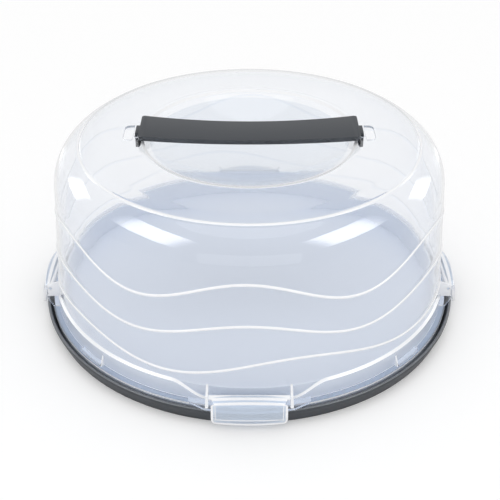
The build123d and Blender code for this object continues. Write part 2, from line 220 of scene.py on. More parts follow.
class Finish(bpy.types.PropertyGroup):
    """Colours of the plastics. The wave lines and ring lip colours are painted highlights, the
    finger bowl's a painted shade.
    """

    clear: colour("Clear plastic", (0.970, 0.978, 0.991), "Lid")
    # Painted shade: the bowl is darker than the clear plastic to stand in for the strap's
    # reflection and shadow on it.
    bowl: colour("Finger bowl painted shade", (0.86, 0.888, 0.925), "Painted shade of the strap's reflection and shadow on the finger bowl")
    # Painted highlight: near white for the raised lines, rims and edges of lid and clips, in place
    # of glints on clear plastic.
    lines: colour("Painted highlight lines", (0.98, 0.985, 1.0), "Painted highlight on the raised lines and edges of lid and clips")
    skirt: colour("Skirt", (0.84, 0.88, 0.95), "Thicker band at the lid's foot")
    flange: colour("Flange", (0.42, 0.48, 0.57), "Flange under that band, and the openings' walls")
    # Painted highlight: a lighter colour on top of the ring's lip in place of a glint along its
    # rounding.
    lip: colour("Ring lip highlight", (0.15, 0.16, 0.175), "Painted highlight along the top of the ring")
    frosted: colour("Frosted plastic", (0.77, 0.85, 0.96), "Clips")
    pale: colour("Pale plastic", (0.72, 0.77, 0.86), "Tray")
    dark: colour("Dark plastic", (0.043, 0.049, 0.058), "Ring and strap")


class StageLook(bpy.types.PropertyGroup):
    """Camera, floor and light."""

    camera_place: point("Camera", (0, -0.68065, 0.48511), "Where the camera stands")
    camera_tilt: turn("Tilt", 56.837, "Camera's angle from straight down")
    lens: number("Lens", 68.63, "Focal length in millimetres")
    side_shift: number("Side shift", 0.0012, "Camera shift")
    floor_colour: colour("Floor", (0.88, 0.88, 0.88), "Colour of the floor")
    floor_lift: number("Floor lift", 0.17, "Lifts the seen floor to white")
    sky_level: number("Sky level", 0.76, "Light from all round")
    mirror_level: number("Mirrored sky", 0.75, "Sky seen in reflections")
    overhead: number("Overhead", 0.5, "Strength of the light from above")
    overhead_spread: turn("Overhead spread", 45, "How broad the light from above is")
    fill_power: number("Fill", 2.0, "Power of the lamp in front")
    fill_place: point("Fill place", (0, -1.2, 0.4), "Where that lamp stands")
    fill_tilt: turn("Fill tilt", 75, "Its angle from straight down")
    fill_width: length("Fill width", 1.2, "Its width")
    fill_height: length("Fill height", 0.5, "Its height")
    softbox_power: number("Softboxes", 5.0, "Power of each side lamp")
    softbox_place: point("Softbox place", (0.70, -0.42, 0.72), "Middle of the right one")
    softbox_aim: point("Softbox aim", (0.0, -0.10, 0.13), "Point both face")
    softbox_width: length("Softbox width", 0.75, "Width of each softbox")
    softbox_height: length("Softbox height", 0.42, "Height of each softbox")
    back_power: number("Back softboxes", 1.5, "Power of each rear side lamp")
    back_place: point("Back softbox place", (0.95, 0.41, 0.43), "Middle of the right rear one")
    back_aim: point("Back softbox aim", (0.125, -0.07, 0.14), "Point the right rear one faces")
    back_size: length("Back softbox size", 0.36, "Width and height of each rear softbox")


# ------------------------------------------------------------------ node helpers
def add_node(tree, kind, inputs=None, **settings):
    """Adds a node with these properties. Its inputs, by name or number, take a value, a socket, or
    the first output of a node."""
    node = tree.nodes.new(kind)
    for key, value in settings.items():
        setattr(node, key, value)
    for key, value in (inputs or {}).items():
        if isinstance(value, bpy.types.Node):
            value = value.outputs[0]
        if isinstance(value, bpy.types.NodeSocket):
            tree.links.new(value, node.inputs[key])
        else:
            node.inputs[key].default_value = value
    return node


def calc(tree, operation, first, second=0.0, third=0.0):
    """A Math node's result."""
    node = add_node(tree, "ShaderNodeMath", {0: first, 1: second, 2: third}, operation=operation)
    return node.outputs[0]


def total(tree, parts):
    """The sum of some numbers, added in order."""
    return reduce(lambda first, second: calc(tree, "ADD", first, second), parts)


def split(tree, vector):
    """The three numbers of a vector, by axis."""
    return add_node(tree, "ShaderNodeSeparateXYZ", {0: vector}).outputs


def smooth_step(tree, value, start, end, low, high):
    """Goes smoothly from low to high while the value goes from start to end."""
    return add_node(
        tree, "ShaderNodeMapRange",
        {"Value": value, "From Min": start, "From Max": end, "To Min": low, "To Max": high},
        interpolation_type="SMOOTHSTEP",
    ).outputs[0]


def turned_place(tree, radius, azimuth, height):
    """A place or a shift that lies out from the axis; the azimuth starts at the front."""
    forward = calc(tree, "MULTIPLY", calc(tree, "COSINE", azimuth), -1.0)
    x = calc(tree, "MULTIPLY", radius, calc(tree, "SINE", azimuth))
    y = calc(tree, "MULTIPLY", radius, forward)
    return add_node(tree, "ShaderNodeCombineXYZ", {"X": x, "Y": y, "Z": height})


def new_group(name, ins, kind="GeometryNodeTree"):
    """A node group with inputs of these names and types, and what they give inside it."""
    tree = bpy.data.node_groups.new(name, kind)
    for label, socket in ins.items():
        tree.interface.new_socket(label, in_out="INPUT", socket_type="NodeSocket" + socket)
    return tree, tree.nodes.new("NodeGroupInput").outputs


def put_out(tree, results):
    """Gives a node group outputs of these names, each with its type and what feeds it."""
    for label, (socket, value) in results.items():
        tree.interface.new_socket(label, in_out="OUTPUT", socket_type="NodeSocket" + socket)
    add_node(tree, "NodeGroupOutput", {label: value for label, (_, value) in results.items()})
    return tree


def add_group(tree, group, inputs, kind="GeometryNodeGroup"):
    """Places a node group in a tree and returns its outputs."""
    return add_node(tree, kind, inputs, node_tree=group).outputs


def run_tree(obj, tree, values):
    """Runs a Geometry Nodes tree on obj with these inputs, and makes the result its plain mesh."""
    modifier = obj.modifiers.new(tree.name, "NODES")
    modifier.node_group = tree
    for item in tree.interface.items_tree:
        if item.item_type == "SOCKET" and item.in_out == "INPUT" and item.name in values:
            modifier[item.identifier] = values[item.name]
    flatten(obj)


def flatten(obj):
    """Applies what an object's modifiers make and leaves a plain mesh."""
    evaluated = obj.evaluated_get(bpy.context.evaluated_depsgraph_get())
    mesh = bpy.data.meshes.new_from_object(evaluated)
    obj.modifiers.clear()
    old = obj.data
    obj.data = mesh
    mesh.name = obj.name
    if old.users == 0:
        bpy.data.meshes.remove(old)


# ------------------------------------------------------------------ mesh helpers
def new_object(name, data):
    """Puts a mesh, lamp or camera in the scene."""
    obj = bpy.data.objects.new(name, data)
    bpy.context.scene.collection.objects.link(obj)
    return obj


def mesh_object(name, form):
    """Makes an object of a bmesh, with its faces turned outwards."""
    bmesh.ops.recalc_face_normals(form, faces=form.faces)
    mesh = bpy.data.meshes.new(name)
    form.to_mesh(mesh)
    form.free()
    return new_object(name, mesh)


def face_outwards(obj):
    """Turns the faces of a closed mesh outwards."""
    form = bmesh.new()
    form.from_mesh(obj.data)
    bmesh.ops.recalc_face_normals(form, faces=form.faces)
    form.to_mesh(obj.data)
    form.free()


def arc(centre, radius, start, end, steps):
    """Points on an arc, both ends included; the angles are in degrees from the level."""
    angles_on = [radians(start + (end - start) * i / steps) for i in range(steps + 1)]
    return [(centre[0] + radius * cos(a), centre[1] + radius * sin(a)) for a in angles_on]


def circle(centre, radius, count):
    """Points all round a circle."""
    return arc(centre, radius, 0, 360 - 360 / count, count - 1)


def round_edge(half, radius, steps=12):
    """Points across a circle round the middle, from x = half to x = -half."""
    across = [half * (1 - 2 * i / steps) for i in range(steps + 1)]
    return [(x, sqrt(radius**2 - x**2)) for x in across]


def prism(name, outline, place, depth, finish="clear"):
    """A painted prism: an outline in a place's own XY plane, depth thick along its z."""
    form = bmesh.new()
    low = [form.verts.new(place @ Vector((x, y, -depth / 2))) for x, y in outline]
    high = [form.verts.new(place @ Vector((x, y, depth / 2))) for x, y in outline]
    form.faces.new(low)
    form.faces.new(high)
    for i in range(len(outline)):
        j = (i + 1) % len(outline)
        form.faces.new((low[i], low[j], high[j], high[i]))
    made = mesh_object(name, form)
    made.data.materials.append(MATERIALS[finish])
    return made


def rounded_box(half_x, half_y, corner, steps):
    """Outline of a rectangle with rounded corners round the origin."""
    points = []
    for x, y, start in ((1, 1, 0), (-1, 1, 90), (-1, -1, 180), (1, -1, 270)):
        centre = (x * (half_x - corner), y * (half_y - corner))
        points += arc(centre, corner, start, start + 90, steps)
    return points


def side_place(angle, across):
    """Place whose x runs outward at an angle round from the front, its y up, moved across."""
    turned = Matrix.Rotation(radians(angle), 4, "Z")
    upright = Matrix(((0, 0, 1, across), (-1, 0, 0, 0), (0, 1, 0, 0), (0, 0, 0, 1)))
    return turned @ upright


def combine(obj, tool, operation):
    """Joins a closed tool to a closed object, or cuts it away."""
    modifier = obj.modifiers.new(operation, "BOOLEAN")
    modifier.operation = operation
    modifier.solver = "MANIFOLD"
    modifier.object = tool
    flatten(obj)
    old = tool.data
    bpy.data.objects.remove(tool)
    bpy.data.meshes.remove(old)


def soften(obj, width, segments):
    """Rounds the edges that turn by more than SOFT_ANGLE."""
    modifier = obj.modifiers.new("Soft edges", "BEVEL")
    modifier.width = width
    modifier.segments = segments
    modifier.limit_method = "ANGLE"
    modifier.angle_limit = radians(SOFT_ANGLE)
    flatten(obj)


def finish_piece(obj, body, node, crease=CREASE):
    """Smooths a finished piece, hangs it on its body and puts it in place of its CAD node."""
    obj.data.shade_smooth()
    obj.data.set_sharp_from_angle(angle=radians(crease))
    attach(obj, body)
    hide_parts(node)


# ------------------------------------------------------------------ geometry node trees
def sample_at(tree, geometry, value, index, kind="FLOAT"):
    """A value at one point of a geometry."""
    return add_node(
        tree, "GeometryNodeSampleIndex", {"Geometry": geometry, "Value": value, "Index": index},
        data_type=kind,
    ).outputs[0]


def attribute_of(tree, name):
    """A named number of each point or face."""
    return add_node(
        tree, "GeometryNodeInputNamedAttribute", {"Name": name}, data_type="FLOAT"
    ).outputs["Attribute"]


def turn_group():
    """Turns a section line round Z. Each section point gives one row of the surface."""
    tree, given = new_group("Turn section", {"Section": "Geometry", "Columns": "Int"})
    section, columns = given["Section"], given["Columns"]
    count = add_node(tree, "GeometryNodeAttributeDomainSize", {0: section})
    rows = count.outputs["Point Count"]
    across = calc(tree, "ADD", columns, 1.0)
    grid = add_node(
        tree, "GeometryNodeMeshGrid",
        {"Size X": 1.0, "Size Y": 1.0, "Vertices X": across, "Vertices Y": rows},
    )
    index = add_node(tree, "GeometryNodeInputIndex").outputs[0]
    column = calc(tree, "FLOOR", calc(tree, "DIVIDE", index, rows))
    row = calc(tree, "SUBTRACT", index, calc(tree, "MULTIPLY", column, rows))
    azimuth = calc(tree, "MULTIPLY", calc(tree, "DIVIDE", column, columns), 2 * pi)
    position = add_node(tree, "GeometryNodeInputPosition")
    start = split(tree, sample_at(tree, section, position, row, "FLOAT_VECTOR"))
    place = turned_place(tree, start["X"], azimuth, start["Z"])
    turned = add_node(tree, "GeometryNodeSetPosition", {"Geometry": grid, "Position": place})
    return put_out(tree, {
        "Geometry": ("Geometry", turned), "Row": ("Int", row), "Azimuth": ("Float", azimuth),
    })


def swell_group():
    """Height of a wave line over its mean: swells of two, four and six waves a turn."""
    ins = {"Azimuth": "Float", "Swells": "Vector", "Turns": "Vector"}
    tree, given = new_group("Wave line", ins)
    swells, turns = split(tree, given["Swells"]), split(tree, given["Turns"])
    lifts = []
    for count, axis in ((2.0, "X"), (4.0, "Y"), (6.0, "Z")):
        phase = calc(tree, "MULTIPLY_ADD", given["Azimuth"], count, turns[axis])
        lifts.append(calc(tree, "MULTIPLY", calc(tree, "COSINE", phase), swells[axis]))
    return put_out(tree, {"Lift": ("Float", total(tree, lifts))})


def paint(tree, geometry, material, **chosen):
    """Sets the material of all faces or of the chosen ones."""
    return add_node(
        tree, "GeometryNodeSetMaterial", {"Geometry": geometry, "Material": material, **chosen}
    )


def close_up(tree, geometry, material):
    """Merges seams and poles, and sets the material."""
    merged = add_node(
        tree, "GeometryNodeMergeByDistance", {"Geometry": geometry, "Distance": SAME}
    )
    return paint(tree, add_node(tree, "GeometryNodeRealizeInstances", {0: merged}), material)


def turned_tree(turning):
    """A plain turned piece."""
    ins = {"Geometry": "Geometry", "Columns": "Int", "Material": "Material"}
    tree, given = new_group("Turned piece", ins)
    made = add_group(tree, turning, {"Section": given["Geometry"], "Columns": given["Columns"]})
    closed = close_up(tree, made["Geometry"], given["Material"])
    return put_out(tree, {"Geometry": ("Geometry", closed)})


WAVE_LINES = ("Upper", "Middle", "Lower")
FOLLOWS = ("follow_upper", "follow_middle", "follow_lower", "follow_scoop")
# What a section point may be marked as, and the material that such faces get: line faces carry the
# painted highlight, bowl faces the bowl's painted shade.
FINISHES = {"line": "lines", "band": "skirt", "bowl": "bowl", "flange": "flange"}
ROW_NUMBERS = (*FOLLOWS, "lean", *FINISHES)
# A face is marked where the share of its corners' marks is over this.
MARKED = 0.7


def finish_socket(attribute):
    """Name of the input that takes a finish's material."""
    return attribute.capitalize() + " material"


def dome_tree(turning, waving):
    """The lid: its section turned, with rows lifted along the waves and lowered in the scoops."""
    ins = {"Geometry": "Geometry", "Columns": "Int", "Scoop depth": "Float", "Scoop start": "Float"}
    ins |= {"Scoop end": "Float", "Clips": "Float", "Material": "Material"}
    ins |= {line + part: "Vector" for line in WAVE_LINES for part in (" swells", " turns")}
    ins |= {finish_socket(name): "Material" for name in FINISHES}
    tree, given = new_group("Waved dome", ins)
    made = add_group(tree, turning, {"Section": given["Geometry"], "Columns": given["Columns"]})
    azimuth, row = made["Azimuth"], made["Row"]

    def per_row(name):
        """A section point's number for every point of its row."""
        return sample_at(tree, given["Geometry"], attribute_of(tree, name), row)

    # Angle from the nearest clip's middle: full scoop inside its start, none past its end.
    sector = calc(tree, "DIVIDE", 2 * pi, given["Clips"])
    half = calc(tree, "MULTIPLY", sector, 0.5)
    wrapped = calc(tree, "FLOORED_MODULO", calc(tree, "ADD", azimuth, half), sector)
    local = calc(tree, "ABSOLUTE", calc(tree, "SUBTRACT", wrapped, half))
    scoop = smooth_step(tree, local, given["Scoop start"], given["Scoop end"], -1.0, 0.0)
    lifts = []
    for line in WAVE_LINES:
        swells, turns = given[line + " swells"], given[line + " turns"]
        wave = add_group(tree, waving, {"Azimuth": azimuth, "Swells": swells, "Turns": turns})
        lifts.append(wave["Lift"])
    lifts.append(calc(tree, "MULTIPLY", scoop, given["Scoop depth"]))
    rise = total(tree, [
        calc(tree, "MULTIPLY", lift, per_row(name)) for lift, name in zip(lifts, FOLLOWS)
    ])
    shift = turned_place(tree, calc(tree, "MULTIPLY", rise, per_row("lean")), azimuth, rise)
    dome = made["Geometry"]
    for name in FINISHES:
        dome = add_node(
            tree, "GeometryNodeStoreNamedAttribute",
            {"Geometry": dome, "Name": name, "Value": per_row(name)},
            data_type="FLOAT", domain="POINT",
        )
    waved = add_node(tree, "GeometryNodeSetPosition", {"Geometry": dome, "Offset": shift})
    dome = close_up(tree, waved, given["Material"])
    for name in FINISHES:
        most = add_node(
            tree, "FunctionNodeCompare", {0: attribute_of(tree, name), 1: MARKED},
            data_type="FLOAT", operation="GREATER_THAN",
        )
        dome = paint(tree, dome, given[finish_socket(name)], Selection=most)
    return put_out(tree, {"Geometry": ("Geometry", dome)})


def round_copies_tree():
    """Copies the input geometry round Z and turns the copies into real mesh."""
    ins = {"Geometry": "Geometry", "Count": "Int", "Material": "Material"}
    tree, given = new_group("Round copies", ins)
    points = add_node(tree, "GeometryNodePoints", {"Count": given["Count"]})
    index = add_node(tree, "GeometryNodeInputIndex").outputs[0]
    angle = calc(tree, "MULTIPLY", calc(tree, "DIVIDE", index, given["Count"]), 2 * pi)
    rotation = add_node(tree, "ShaderNodeCombineXYZ", {"Z": angle})
    copies = add_node(
        tree, "GeometryNodeInstanceOnPoints",
        {"Points": points, "Instance": given["Geometry"], "Rotation": rotation},
    )
    real = add_node(tree, "GeometryNodeRealizeInstances", {0: copies})
    return put_out(tree, {"Geometry": ("Geometry", paint(tree, real, given["Material"]))})


def row_at(radius, height, follows=(0, 0, 0, 0), lean=0, line=0, band=0, bowl=0, flange=0):
    """A section point: its place, what it follows, and which finish it has."""
    return (radius, height, *follows, lean, line, band, bowl, flange)


def section_object(name, rows):
    """A line of section points as a mesh of edges, with their numbers as attributes."""
    mesh = bpy.data.meshes.new(name)
    mesh.from_pydata(
        [(r[0], 0, r[1]) for r in rows], [(i, i + 1) for i in range(len(rows) - 1)], []
    )
    for number, attribute in enumerate(ROW_NUMBERS):
        values = mesh.attributes.new(attribute, "FLOAT", "POINT")
        values.data.foreach_set("value", [r[2 + number] for r in rows])
    return new_object(name, mesh)


def plain_rows(points):
    """Section points that follow nothing."""
    return [row_at(r, z) for r, z in points]


# ------------------------------------------------------------------ materials
def new_material(name):
    """An empty material and its node tree."""
    material = bpy.data.materials.new(name)
    material.use_nodes = True
    material.node_tree.nodes.clear()
    return material, material.node_tree


SURFACE_LOOK = ("Drift", "Drift scale", "Grain scale", "Gloss", "Gloss drift")


def grain_group():
    """Moulded plastic's surface: slight colour drift, fine grain and uneven gloss."""
    ins = {"Color": "Color", **dict.fromkeys(SURFACE_LOOK, "Float")}
    tree, given = new_group("Moulded surface", ins, "ShaderNodeTree")
    place = add_node(tree, "ShaderNodeTexCoord").outputs["Object"]
    broad, fine = (
        add_node(
            tree, "ShaderNodeTexNoise", {"Vector": place, "Scale": given[scale], "Detail": detail}
        ).outputs["Fac"]
        for scale, detail in (("Drift scale", 2.0), ("Grain scale", 3.0))
    )
    level = calc(tree, "SUBTRACT", broad, 0.5)
    gain = calc(tree, "ADD", calc(tree, "MULTIPLY", level, given["Drift"]), 1.0)
    tinted = add_node(
        tree, "ShaderNodeVectorMath", {0: given["Color"], "Scale": gain}, operation="SCALE"
    )
    rough = calc(tree, "MULTIPLY_ADD", level, given["Gloss drift"], given["Gloss"])
    return put_out(tree, {
        "Color": ("Color", tinted), "Roughness": ("Float", rough), "Height": ("Float", fine),
    })


def moulded(name, surface, shade, look, relief, ior, transmission):
    """A moulded plastic: the surface group feeds one Principled shader."""
    material, tree = new_material(name)
    inputs = {"Color": (*shade, 1), **dict(zip(SURFACE_LOOK, look))}
    group = add_group(tree, surface, inputs, "ShaderNodeGroup")
    bump = add_node(
        tree, "ShaderNodeBump",
        {"Height": group["Height"], "Strength": relief[0], "Distance": relief[1]},
    )
    plastic = add_node(
        tree, "ShaderNodeBsdfPrincipled",
        {
            "Base Color": group["Color"], "Roughness": group["Roughness"], "Normal": bump,
            "IOR": ior, "Transmission Weight": transmission,
        },
    )
    return material, tree, plastic


# A ray that has been reflected or turned more often than this goes straight on through a
# see-through plastic, so that a thin wall seen edge-on stays clear.
MOST_REFLECTIONS = 2.5
MOST_TURNS = 9.5


def let_light_through(tree, plastic, tint, from_inside):
    """Light passes a see-through plastic straight on to what is behind it, a little of it lost."""
    path = add_node(tree, "ShaderNodeLightPath").outputs
    light = calc(tree, "MAXIMUM", path["Is Shadow Ray"], path["Is Diffuse Ray"])
    for depth, most in (("Glossy Depth", MOST_REFLECTIONS), ("Ray Depth", MOST_TURNS)):
        light = calc(tree, "MAXIMUM", light, calc(tree, "GREATER_THAN", path[depth], most))
    # Seen from inside, the painted highlight lines let light straight through, so the painted
    # highlight shows only from outside.
    if from_inside:
        inside = add_node(tree, "ShaderNodeNewGeometry").outputs["Backfacing"]
        light = calc(tree, "MAXIMUM", light, inside)
    open_side = add_node(tree, "ShaderNodeBsdfTransparent", {"Color": tint})
    return add_node(tree, "ShaderNodeMixShader", {0: light, 1: plastic, 2: open_side})


# Each plastic by its colour's name in Finish: its own name, its surface's look as listed above,
# strength and distance of its relief, IOR, and how much light it lets through.
PLASTICS = {
    "dark": ("Anthracite plastic", (0.25, 14.0, 2200.0, 0.42, 0.15), (0.35, 0.00008), 1.5, 0.0),
    # Painted highlight along the ring's lip.
    "lip": ("Rubbed anthracite plastic", (0.3, 30.0, 2200.0, 0.3, 0.1), (0.35, 0.00008), 1.5, 0.0),
    "pale": ("Pale plastic", (0.05, 6.0, 900.0, 0.35, 0.08), (0.15, 0.00005), 1.5, 0.0),
    "clear": ("Clear plastic", (0.02, 5.0, 60.0, 0.03, 0.02), (0.03, 0.0002), 1.49, 1.0),
    # Painted shade of the strap's reflection and shadow on the bowl.
    "bowl": ("Bowl plastic", (0.02, 5.0, 60.0, 0.03, 0.02), (0.03, 0.0002), 1.49, 1.0),
    # Painted highlight for the raised lines and edges.
    "lines": ("Wave line plastic", (0.02, 20.0, 900.0, 0.25, 0.05), (0.05, 0.00005), 1.49, 0.08),
    "skirt": ("Skirt plastic", (0.04, 12.0, 600.0, 0.16, 0.05), (0.05, 0.00005), 1.49, 0.6),
    "flange": ("Flange plastic", (0.04, 12.0, 600.0, 0.16, 0.05), (0.05, 0.00005), 1.49, 0.6),
    "frosted": ("Frosted plastic", (0.04, 20.0, 1200.0, 0.3, 0.08), (0.1, 0.00005), 1.45, 0.56),
}
# What the see-through ones leave of light that goes straight on.
TINTS = {
    "clear": (0.975, 0.98, 0.99, 1),
    "bowl": (0.975, 0.98, 0.99, 1),
    "lines": (0.9, 0.92, 0.95, 1),
    "skirt": (0.85, 0.88, 0.93, 1),
    "flange": (0.85, 0.88, 0.93, 1),
    "frosted": (0.7, 0.73, 0.77, 1),
}
MATERIALS = {}


def make_materials(finish):
    """Makes each plastic in its colour."""
    surface = grain_group()
    for key, (name, *values) in PLASTICS.items():
        MATERIALS[key], tree, shader = moulded(name, surface, getattr(finish, key), *values)
        if key in TINTS:
            shader = let_light_through(tree, shader, TINTS[key], key == "lines")
        add_node(tree, "ShaderNodeOutputMaterial", {"Surface": shader})


# ------------------------------------------------------------------ the pieces
def wall_at(lid, height):
    """Outer radius of the lid's leaning wall."""
    return lid.wall_radius - tan(lid.draft) * (height - lid.skirt_top)


# Steps round the bowl, over its rim, and down the shoulder.
BOWL_STEPS, RIM_STEPS, SHOULDER_STEPS = 16, 7, 20
# Steps of the shoulder above and below the ring on it, and of the wall between its lines.
OVER_RING, UNDER_RING = 7, 16
WALL_STEPS, LAST_STEPS = (5, 6, 6), 3


def dome_points(lid, inset):
    """Half section of the dome from the bowl's middle to the wall's top, moved in by inset."""
    lean = degrees(lid.draft)
    sphere = (lid.bowl_radius**2 + lid.bowl_depth**2) / (2 * lid.bowl_depth)
    sphere_z = lid.top - lid.bowl_depth + sphere
    rim_z = lid.top - lid.bowl_round
    rim_r = sqrt((sphere + lid.bowl_round) ** 2 - (sphere_z - rim_z) ** 2)
    bowl_turn = degrees(atan2(rim_r, sphere_z - rim_z))
    shoulder_z = lid.top - lid.shoulder
    foot = wall_at(lid, shoulder_z)
    shoulder_r = foot - lid.shoulder / cos(lid.draft)
    bowl = arc((0, sphere_z), sphere + inset, -90, -90 + bowl_turn, BOWL_STEPS)
    rim = arc((rim_r, rim_z), lid.bowl_round - inset, 90 + bowl_turn, 90, RIM_STEPS)
    shoulder = arc((shoulder_r, shoulder_z), lid.shoulder - inset, 90, lean, SHOULDER_STEPS)
    bowl[0] = (0, bowl[0][1])
    return bowl + rim[1:], shoulder, (shoulder_r, shoulder_z)


# The bowl's rim carries a painted highlight between these radii.
RIM_HIGHLIGHT = (82.6 * MM, 85.9 * MM)
# Share of a raised line's half width that carries a painted highlight: on the wall, and on the
# shoulder.
HIGHLIGHT_SHARE, RING_HIGHLIGHT_SHARE = 1.0, 0.45
# Section of a raised line: where each point lies across it, and its share of the full height.
BULGE = (
    (-1.25, 0), (-1, 0.04), (-0.75, 0.3), (-0.45, 0.78), (-0.15, 0.98),
    (0.15, 0.98), (0.45, 0.78), (0.75, 0.3), (1, 0.04), (1.25, 0),
)
# The shoulder's own rows stop this many half widths from the middle of the ring on it.
RING_MARGIN = 1.3
# The wall's rows stop this much above the skirt.
SKIRT_MARGIN = 0.6 * MM
# Distance between two rows at a change of finish.
HAIR = 0.02 * MM
# Rows up the inside of the wall.
INNER_ROWS = 10


def ring_rows(lid, centre):
    """Rows of the shoulder from the flat top to the wall, with the raised ring on it."""
    middle = degrees(acos((lid.ring_radius - centre[0]) / lid.shoulder))
    half = degrees(lid.ring_width / 2 / lid.shoulder)
    lean = degrees(lid.draft)
    margin = RING_MARGIN * half
    rows = plain_rows(arc(centre, lid.shoulder, 90, middle + margin, OVER_RING))
    for share, bulge in BULGE:
        turned = radians(middle - share * half)
        radius = lid.shoulder + bulge * lid.ring_height
        # The ring's middle rows carry the painted highlight.
        rows.append(row_at(
            centre[0] + radius * cos(turned), centre[1] + radius * sin(turned),
            line=abs(share) <= RING_HIGHLIGHT_SHARE,
        ))
    return rows + plain_rows(arc(centre, lid.shoulder, middle - margin, lean, UNDER_RING))


def lid_rows(lid, waves):
    """Section rows of the lid: over the outside, round the flange and back along the inside."""
    slope = tan(lid.draft)
    out_r, out_z = cos(lid.draft), sin(lid.draft)
    bowl, shoulder, centre = dome_points(lid, 0)
    # Rim rows carry the painted highlight; rows inside the rim carry the bowl's painted shade.
    rows = [
        row_at(r, z, line=RIM_HIGHLIGHT[0] <= r <= RIM_HIGHLIGHT[1], bowl=r < RIM_HIGHLIGHT[0])
        for r, z in bowl
    ]
    rows += ring_rows(lid, centre)
    half = lid.bead_width / 2

    def wall_row(height, follows, bulge=0.0, line=0):
        """A row of the wall, or of a line that stands out square to it."""
        return row_at(
            wall_at(lid, height) + bulge * out_r, height + bulge * out_z, follows, -slope, line
        )

    def bead(height, follows):
        """Rows of one raised line."""
        # The bead's middle rows carry the painted highlight.
        return [
            wall_row(
                height - share * half, follows, bulge * lid.bead_height, abs(share) <= HIGHLIGHT_SHARE
            )
            for share, bulge in BULGE
        ]

    def between(high, low, first, last, steps):
        """Rows between two beads, which follow the one above less and less."""
        made = []
        for i in range(1, steps):
            t = i / steps
            follows = tuple(a + (b - a) * t for a, b in zip(first, last))
            made.append(wall_row(high + (low - high) * t, follows))
        return made

    # What a row follows: nothing, one of the three lines, or the scoop.
    none, *lines, scoop = (0, 0, 0, 0), (1, 0, 0, 0), (0, 1, 0, 0), (0, 0, 1, 0), (0, 0, 0, 1)
    edge = BULGE[-1][0] * half
    high, above = shoulder[-1][1], none
    for height, line, steps in zip(waves.heights, lines, WALL_STEPS):
        rows += between(high, height + edge, above, line, steps)
        rows += bead(height, line)
        high, above = height - edge, line
    skirt_wall = lid.skirt_top + SKIRT_MARGIN
    rows += between(high, skirt_wall, above, none, LAST_STEPS)
    flange_top = lid.foot + lid.flange_height
    chamfer_z = lid.skirt_top - lid.skirt_chamfer
    corner = flange_top + lid.corner_highlight
    # Rows marked line carry painted highlights: over the skirt's top and chamfer, in the corner
    # over the flange, and down the flange's outer edge.
    rows += [
        row_at(wall_at(lid, skirt_wall), skirt_wall, scoop, -slope),
        row_at(wall_at(lid, lid.skirt_top), lid.skirt_top, scoop, -slope, line=1),
        row_at(lid.skirt_radius, chamfer_z, scoop, line=1),
        row_at(lid.skirt_radius, chamfer_z - HAIR, scoop, band=1),
        row_at(lid.skirt_radius, corner + HAIR, band=1),
        row_at(lid.skirt_radius, corner, line=1),
        row_at(lid.skirt_radius, flange_top, line=1),
        row_at(lid.skirt_radius + HAIR, flange_top, flange=1),
        row_at(lid.flange_radius, flange_top, flange=1),
        row_at(lid.flange_radius, flange_top - HAIR, line=1),
        row_at(lid.flange_radius, lid.foot + lid.corner_highlight + HAIR, line=1),
        row_at(lid.flange_radius, lid.foot + lid.corner_highlight, flange=1),
        row_at(lid.flange_radius, lid.foot, flange=1),
    ]
    bowl, shoulder, centre = dome_points(lid, lid.wall)
    inner = lid.wall / cos(lid.draft)
    for i in range(INNER_ROWS):
        height = lid.foot + (shoulder[-1][1] - lid.foot) * i / INNER_ROWS
        rows.append(row_at(wall_at(lid, height) - inner, height))
    rows += plain_rows(reversed(shoulder))
    # Inside the rim the rows carry the bowl's painted shade.
    rows += [row_at(r, z, bowl=r < RIM_HIGHLIGHT[0]) for r, z in reversed(bowl)]
    return rows


class CARRIER_OT_lid(bpy.types.Operator):
    """Builds the clear domed lid with its wave lines, skirt, brackets, ears and slots"""

    bl_idname = "carrier.lid"
    bl_label = "Lid"

    def execute(self, context):
        scene = context.scene
        lid, waves = scene.carrier_lid, scene.carrier_waves
        values = {
            "Columns": lid.columns,
            "Scoop depth": lid.skirt_top - lid.scoop_top,
            "Scoop start": lid.scoop_start,
            "Scoop end": lid.scoop_end,
            "Clips": float(len(CLIP_TURNS)),
            "Material": MATERIALS["clear"],
        }
        for line in WAVE_LINES:
            values[line + " swells"] = tuple(getattr(waves, line.lower()))
            values[line + " turns"] = tuple(getattr(waves, line.lower() + "_turns"))
        for attribute, key in FINISHES.items():
            values[finish_socket(attribute)] = MATERIALS[key]
        dome = section_object("lid_dome", lid_rows(lid, waves))
        run_tree(dome, dome_tree(TREES["turn"], TREES["swell"]), values)
        face_outwards(dome)
        for part, operation in stiffeners(lid) + bracket_copies(lid, scene.carrier_clip):
            combine(dome, part, operation)
        # The first slot is empty and no face uses it.
        dome.data.materials.pop(index=0)
        cut_slots(dome, lid, scene.carrier_strap)
        finish_piece(dome, "lid", "lid", LID_CREASE)
        return {"FINISHED"}


# Ribs and pads start this much above the flange's underside.
STIFFENER_LIFT = 0.05 * MM
PAD_STEPS = 12


